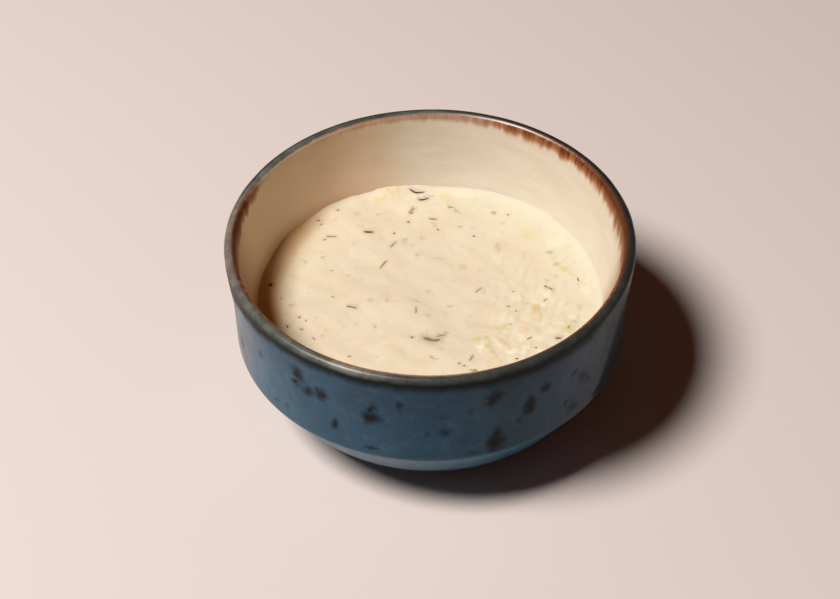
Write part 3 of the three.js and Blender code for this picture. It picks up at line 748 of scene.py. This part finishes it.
def build_sauce(material):
    n = 271
    g = np.linspace(-1, 1, n)
    U, V = np.meshgrid(g, g, indexing="ij")
    X = U * np.sqrt(1 - V * V / 2)
    Y = V * np.sqrt(1 - U * U / 2)
    # the boundary meets the wall: radius from the hollow at the surface's own height there
    R0 = float(hollow_radius(LEVEL))
    X, Y = X * R0, Y * R0
    Z, (yellow, rust, white) = sauce_height(X, Y)
    r = np.hypot(X, Y)
    grow = 1 + (hollow_radius(Z) / R0 - 1) * smooth(0.90, 1.0, r / R0)
    X, Y = X * grow, Y * grow
    # the bowl's turning marks never cut the edge: the boundary tucks just into the glaze
    tuck = 1 + 0.0012 * smooth(0.97, 1.0, r / R0)
    X, Y = X * tuck, Y * tuck
    herb = submerged(X, Y)
    top = np.stack([X, Y, Z], 2).reshape(-1, 3)
    ids = np.arange(n * n).reshape(n, n)
    quads = np.stack([ids[:-1, :-1], ids[1:, :-1], ids[1:, 1:], ids[:-1, 1:]], 2).reshape(-1, 4)
    # boundary loop, counter-clockwise seen from above
    loop = np.concatenate([ids[:, 0], ids[-1, 1:], ids[-2::-1, -1], ids[0, -2:0:-1]])
    verts = [top]
    faces = [quads]
    base = len(top)
    prev = loop
    ang = np.arctan2(top[loop, 1], top[loop, 0])
    zl = top[loop, 2]
    levels = [0.5, 1.4, 3.2, 6.5, 11.0]
    for drop in levels:
        z = zl - drop
        rr = hollow_radius(z) + 0.04
        ring = np.stack([rr * np.cos(ang), rr * np.sin(ang), z], 1)
        verts.append(ring)
        cur = base + np.arange(len(loop))
        base += len(loop)
        nxp, nxc = np.roll(prev, -1), np.roll(cur, -1)
        faces.append(np.stack([prev, cur, nxc, nxp], 1))
        prev = cur
    for z, k in ((11.0, 1.0), (8.4, 1.0), (7.3, 0.55)):
        rr = float(hollow_radius(z)) * k + 0.02
        ring = np.stack([rr * np.cos(ang), rr * np.sin(ang), np.full(len(ang), z)], 1)
        verts.append(ring)
        cur = base + np.arange(len(loop))
        base += len(loop)
        nxp, nxc = np.roll(prev, -1), np.roll(cur, -1)
        faces.append(np.stack([prev, cur, nxc, nxp], 1))
        prev = cur
    verts.append(np.array([[0, 0, 7.25]]))
    v = np.concatenate(verts)
    quads = np.concatenate(faces)
    tris = [(int(prev[(i + 1) % len(prev)]), int(prev[i]), len(v) - 1) for i in range(len(prev))]
    o = make_object("tartar_sauce", v, [tuple(f) for f in quads] + tris, material)
    extra = len(v) - len(top)
    add_attribute(o, "herb", np.concatenate([herb.ravel(), np.zeros(extra)]))
    rim = set(int(i) for i in loop)
    for e in o.data.edges:
        if e.vertices[0] in rim and e.vertices[1] in rim:
            e.use_edge_sharp = True
    for name, hue in (("pickle", yellow), ("rust", rust), ("white", white)):
        add_attribute(o, name, np.concatenate([hue.ravel(), np.zeros(extra)]))
    return o


def sauce_material():
    g = Tree("thick_cream_sauce")
    P = g.coords()
    herb, pick, rust, white = g.attr("herb"), g.attr("pickle"), g.attr("rust"), g.attr("white")
    n1 = g.noise(P, 0.10, 4.0, 0.55, 0.4).outputs["Fac"]
    n2 = g.noise(P, 0.55, 4.0, 0.6).outputs["Fac"]
    n3 = g.noise(g.vmath("ADD", P, (60.0, 10.0, 0.0)), 0.17, 3.0, 0.55, 0.3).outputs["Fac"]
    col = g.mix(g.rng(n1, 0.35, 0.65), (0.785, 0.770, 0.600), (0.805, 0.805, 0.650))
    col = g.mix(g.rng(n3, 0.50, 0.68, 0.0, 0.70), col, (0.790, 0.735, 0.570))
    col = g.mix(g.rng(n2, 0.50, 0.72, 0.0, 0.45), col, (0.760, 0.755, 0.590))
    # brine and pickle tint the right side
    x, y, z = g.split(P)
    side = g.math("MULTIPLY", g.rng(x, 8.0, 34.0), g.rng(n3, 0.62, 0.38))
    col = g.mix(g.math("MULTIPLY", side, 0.60), col, (0.762, 0.785, 0.590))
    # thin against the wall: paler at the right; at the left edge a painted shadow, warm brown where the wall shades the
    # sauce, partly a real brown stain
    out = g.vmath("LENGTH", g.join(x, y, 0.0))
    col = g.mix(g.math("MULTIPLY", g.rng(out, 31.0, 39.5), g.rng(x, -8.0, 14.0)), col, (0.742, 0.762, 0.618))
    stain = g.mix(g.rng(y, 3.0, 15.0), (0.78, 0.49, 0.28), (0.86, 0.67, 0.50))
    # painted shadow: the sauce's left edge, in the left wall's shadow, is painted warm brown, partly a real brown stain
    col = g.mix(g.math("MULTIPLY", g.rng(out, 33.0, 39.0), g.rng(x, -24.0, -34.0)), col, (0.98, 0.94, 0.85), "MULTIPLY")
    col = g.mix(g.math("MULTIPLY", g.rng(out, 36.8, 41.0), g.rng(x, -24.0, -37.0)), col, stain, "MULTIPLY")
    # painted highlight: pieces and ridges that face the light are painted near white
    col = g.mix(g.math("MULTIPLY", white, 0.9), col, (0.925, 0.930, 0.765))
    col = g.mix(g.rng(pick, 0.05, 0.85, 0.0, 0.95), col, (0.700, 0.690, 0.350))
    col = g.mix(g.rng(rust, 0.05, 1.0, 0.0, 0.80), col, (0.740, 0.480, 0.190))
    hn = g.noise(P, 1.6, 3.0, 0.6).outputs["Fac"]
    hm = g.math("MULTIPLY", herb, g.rng(hn, 0.30, 0.62, 0.45, 1.15), clamp=True)
    col = g.mix(hm, col, (0.280, 0.250, 0.145))
    rough = g.rng(n2, 0.3, 0.7, 0.32, 0.44)
    rough = g.math("SUBTRACT", rough, g.math("MULTIPLY", g.math("MAXIMUM", pick, white), 0.16))
    nrm = g.bump(g.noise(P, 0.9, 4.0, 0.55).outputs["Fac"], 0.18, 0.14)
    nrm = g.bump(g.noise(P, 3.2, 3.0, 0.6).outputs["Fac"], 0.12, 0.05, nrm)
    return g.set(color=col, rough=rough, ior=1.42, normal=nrm, sss=0.30, sss_radius=(1.0, 0.68, 0.42), sss_scale=0.0018)


# ------------------------------------------------------------------ herb and spice pieces
def herb_meshes():
    """One mesh for each kind. Every piece is a closed, slightly bent and flattened solid, part sunk in the sauce."""
    r = random.Random(77)
    kinds = {"dill_needles": ([], [], []), "dill_leaves": ([], [], []), "spice_flecks": ([], [], [])}

    def tube(target, path, width, thick, dark, taper=0.35, sides=8, lift=0.0):
        V, F, A = kinds[target]
        base = len(V)
        path = np.asarray(path, float)
        rings = len(path)
        wx, wy = path.T
        zz, _ = sauce_height(wx, wy)
        dirx, diry = np.gradient(wx), np.gradient(wy)
        ln = np.hypot(dirx, diry)
        dirx, diry = dirx / ln, diry / ln
        end = r.uniform(-0.05, 0.08)
        for i, t in enumerate(np.linspace(-1, 1, rings)):
            prof = max((1 - abs(t) ** 4) ** 0.5 * (1 - taper * (t + 1) / 2), 0.16)
            w = width / 2 * prof * (1 + 0.12 * math.sin(5 * t + path[0, 0]))
            h = thick / 2 * prof
            for j in range(sides):
                b = 2 * math.pi * j / sides
                ox, oz = w * math.cos(b), h * math.sin(b)
                V.append((wx[i] - diry[i] * ox, wy[i] + dirx[i] * ox, zz[i] + oz + lift + end * (t + 1) / 2))
                A.append(dark)
        for i in range(rings - 1):
            for j in range(sides):
                k = (j + 1) % sides
                F.append((base + i * sides + j, base + i * sides + k, base + (i + 1) * sides + k, base + (i + 1) * sides + j))
        F.append(tuple(base + j for j in range(sides))[::-1])
        F.append(tuple(base + (rings - 1) * sides + j for j in range(sides)))

    def rod(target, cx, cy, length, turn, width, thick, bend, dark, taper=0.35, rings=9, lift=0.0):
        c, s = math.cos(math.radians(turn)), math.sin(math.radians(turn))
        ts = np.linspace(-1, 1, rings)
        px, py = ts * length / 2, bend * (ts**2 - 0.4) * length * 0.25
        tube(target, np.stack([cx + px * c - py * s, cy + px * s + py * c], 1), width, thick, dark, taper, lift=lift)

    for points, width, dark in LEAVES:
        a, b, c = np.array(points)
        t = np.linspace(0, 1, 15)[:, None]
        mid = 2 * b - (a + c) / 2
        tube("dill_leaves", (1 - t) ** 2 * a + 2 * t * (1 - t) * mid + t * t * c, width * 1.15, 0.26, dark, 0.30, lift=-0.03)

    for kind, x, y, length, turn, width, dark in all_herbs():
        if kind == "needle":
            rod("dill_needles", x, y, length, turn, width * 1.25, 0.30, r.uniform(-0.4, 0.4), dark, taper=r.uniform(0.2, 0.5), lift=-0.06)
        elif kind == "dot":
            rod("dill_needles", x, y, length * 0.9, turn, max(width * 1.25, 0.42), 0.34, 0.0, dark, taper=0.15, rings=7, lift=-0.05)
        elif kind == "patch":
            rod("dill_leaves", x - 0.35, y, length, turn, width * 0.34, 0.16, 0.1, dark, lift=-0.02)
            rod("dill_leaves", x + 0.35, y + 0.1, length * 0.9, turn + 6, width * 0.34, 0.16, -0.1, dark, lift=-0.03)
        elif kind == "spice":
            rod("spice_flecks", x, y, length, turn, width * 1.25, 0.28, 0.2, dark, taper=0.3, rings=7, lift=-0.04)
    return kinds


def herb_material(name, deep, pale):
    g = Tree(name)
    P = g.coords()
    dark = g.attr("deep")
    n = g.noise(P, 2.8, 4.0, 0.65).outputs["Fac"]
    col = g.mix(g.rng(dark, 0.35, 1.0), pale, deep)
    col = g.mix(g.rng(n, 0.5, 0.75, 0.0, 0.6), col, tuple(c * 1.9 + 0.01 for c in deep))
    nrm = g.bump(g.noise(P, 6.0, 3.0, 0.6).outputs["Fac"], 0.4, 0.04)
    return g.set(color=col, rough=0.50, ior=1.28, normal=nrm, sss=0.0)


# ------------------------------------------------------------------ build the object
bowl = build_bowl(glaze_material())
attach(bowl, "root")
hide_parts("bowl")

sauce = build_sauce(sauce_material())
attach(sauce, "root")
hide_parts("sauce")

paints = {
    "dill_needles": herb_material("dill_green", (0.068, 0.058, 0.026), (0.380, 0.310, 0.190)),
    "dill_leaves": herb_material("dill_leaf_green", (0.066, 0.062, 0.042), (0.400, 0.350, 0.240)),
    "spice_flecks": herb_material("spice_brown", (0.160, 0.080, 0.028), (0.460, 0.310, 0.140)),
}
for name, (V, F, A) in herb_meshes().items():
    o = make_object(name, V, F, paints[name])
    add_attribute(o, "deep", A)
    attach(o, "root")

# ------------------------------------------------------------------ floor, light, camera
fg = Tree("pale_floor")
fg.set(color=(0.746, 0.749, 0.737), rough=0.95, spec=0.15)
bpy.ops.mesh.primitive_plane_add(size=14.0, location=(0, 0, 0))
floor = bpy.context.object
floor.name = "floor"
floor.data.materials.append(fg.mat)


def aim(o, target):
    d = Vector(target) - o.location
    o.rotation_euler = d.to_track_quat("-Z", "Y").to_euler()


key_data = bpy.data.lights.new("key", "AREA")
key_data.shape = "DISK"
key_data.size = 0.386
key_data.energy = 18.0
key_data.color = (1.0, 0.845, 0.780)
key = bpy.data.objects.new("key", key_data)
key.location = (-0.572, -0.251, 1.083)
aim(key, (0, 0, 0.03))
bpy.context.scene.collection.objects.link(key)

world = bpy.data.worlds.new("room")
world.use_nodes = True
bg = world.node_tree.nodes["Background"]
bg.inputs["Color"].default_value = (0.043, 0.0115, 0.0040, 1)
bg.inputs["Strength"].default_value = 1.0
bpy.context.scene.world = world

PITCH, ROLL = math.radians(43.64), math.radians(-0.78)
RIM_IN_CAMERA = np.array([2.40, -16.21, 440.1])
up = np.array([0, -math.cos(PITCH), -math.sin(PITCH)])
right = np.array([1.0, 0, 0])
cr, sr = math.cos(ROLL), math.sin(ROLL)
roll = np.array([[cr, -sr, 0], [sr, cr, 0], [0, 0, 1]])
up, right = roll @ up, roll @ right
away = np.cross(up, right)
rows = np.stack([right, away, up], 1)  # camera x, y (down), z (forward) in the world's axes
where = np.array([0, 0, HEIGHT]) - rows.T @ RIM_IN_CAMERA
cam_data = bpy.data.cameras.new("camera")
cam_data.sensor_width = 36.0
cam_data.lens = 36.0 * 1800.0 / 840.0
cam_data.clip_start = 0.01
cam = bpy.data.objects.new("camera", cam_data)
m = Matrix.Identity(4)
for i in range(3):
    m[i][0], m[i][1], m[i][2], m[i][3] = rows[0][i], -rows[1][i], -rows[2][i], where[i] * MM
cam.matrix_world = m
bpy.context.scene.collection.objects.link(cam)
bpy.context.scene.camera = cam
bpy.context.scene.view_settings.view_transform = "Standard"
bpy.context.scene.view_settings.look = "None"
